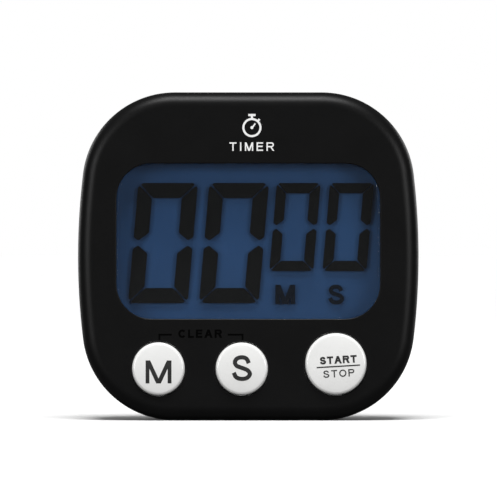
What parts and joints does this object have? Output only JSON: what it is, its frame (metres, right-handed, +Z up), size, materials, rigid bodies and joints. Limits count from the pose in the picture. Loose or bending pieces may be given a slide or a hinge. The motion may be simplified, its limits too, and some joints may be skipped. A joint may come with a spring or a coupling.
{
  "type": "kitchen timer",
  "caption": "Digital kitchen countdown timer: rounded-square black case, large display, round white push buttons, fold-out stand and magnets on the back.",
  "frame": {"origin": "on the surface the timer stands on, under the middle of its box; +Z goes up through the middle of the case", "axes": "-Y is the way the display faces, +Y towards the back with the stand and magnets, +X to the right of someone reading the display, +Z up"},
  "size_m": [0.07, 0.0216, 0.0674],
  "materials": {
    "case_black": "satin, fine texture",
    "lens_clear": "polished clear acrylic",
    "magnet_metal": "nickel plated",
    "screw_steel": "zinc plated",
    "button_white": "gloss",
    "silicone_grey": "matte",
    "carbon_rubber": "matte",
    "polariser_film": "smooth film",
    "lcd_glass": "polished glass",
    "lcd_blue": "blue reflective film",
    "holder_plastic": "matte",
    "zebra_rubber": "matte",
    "board_green": "solder mask, satin",
    "epoxy_black": "cured epoxy",
    "can_metal": "plated can",
    "capacitor_sleeve": "shrink sleeve",
    "resistor_body": "glazed",
    "buzzer_brass": "rolled sheet",
    "buzzer_ceramic": "silvered ceramic",
    "wire_black": "smooth insulation",
    "wire_red": "smooth insulation",
    "battery_wrap": "printed metallic wrap",
    "contact_nickel": "nickel plated"
  },
  "bodies": {
    "case": {"front_housing": "case_black", "rear_housing": "case_black", "display_lens": "lens_clear", "magnet_left": "magnet_metal", "magnet_right": "magnet_metal", "housing_screw_1": "screw_steel", "housing_screw_2": "screw_steel", "housing_screw_3": "screw_steel", "housing_screw_4": "screw_steel", "rubber_dome_minutes": "silicone_grey", "rubber_dome_seconds": "silicone_grey", "rubber_dome_start_stop": "silicone_grey", "lcd_front_polariser": "polariser_film", "lcd_front_glass": "lcd_glass", "lcd_rear_glass": "lcd_glass", "lcd_rear_polariser": "lcd_blue", "lcd_holder": "holder_plastic", "zebra_strip": "zebra_rubber", "circuit_board": "board_green", "chip_blob": "epoxy_black", "crystal": "can_metal", "capacitor": "capacitor_sleeve", "resistor_1": "resistor_body", "resistor_2": "resistor_body", "board_screw_1": "screw_steel", "board_screw_2": "screw_steel", "board_screw_3": "screw_steel", "board_screw_4": "screw_steel", "buzzer_disc": "buzzer_brass", "buzzer_ceramic": "buzzer_ceramic", "battery_wire_black": "wire_black", "battery_wire_red": "wire_red", "buzzer_wire_black": "wire_black", "buzzer_wire_red": "wire_red", "battery_cell": "battery_wrap", "battery_contact_positive": "contact_nickel", "battery_contact_negative": "contact_nickel", "battery_spring": "contact_nickel"},
    "minutes_button": {"button_minutes": "button_white", "carbon_pill_minutes": "carbon_rubber"},
    "seconds_button": {"button_seconds": "button_white", "carbon_pill_seconds": "carbon_rubber"},
    "start_stop_button": {"button_start_stop": "button_white", "carbon_pill_start_stop": "carbon_rubber"},
    "stand": {"kickstand": "case_black"},
    "cover": {"battery_cover": "case_black"}
  },
  "joints": [
    {"name": "minutes_press", "type": "slide", "parent": "case", "child": "minutes_button", "axis": [0, 1, 0], "range_m": [0, 0.001], "stiffness_N_per_m": 1500, "deforming": ["rubber_dome_minutes"]},
    {"name": "seconds_press", "type": "slide", "parent": "case", "child": "seconds_button", "axis": [0, 1, 0], "range_m": [0, 0.001], "stiffness_N_per_m": 1500, "deforming": ["rubber_dome_seconds"]},
    {"name": "start_stop_press", "type": "slide", "parent": "case", "child": "start_stop_button", "axis": [0, 1, 0], "range_m": [0, 0.001], "stiffness_N_per_m": 1500, "deforming": ["rubber_dome_start_stop"]},
    {"name": "stand_hinge", "type": "hinge", "parent": "case", "child": "stand", "pos_m": [0, 0.0097, 0.0383], "axis": [1, 0, 0], "range_deg": [0, 42]},
    {"name": "cover_hinge", "type": "hinge", "parent": "case", "child": "cover", "pos_m": [0, 0.0106, 0.04335], "axis": [-1, 0, 0], "range_deg": [0, 80]}
  ]
}
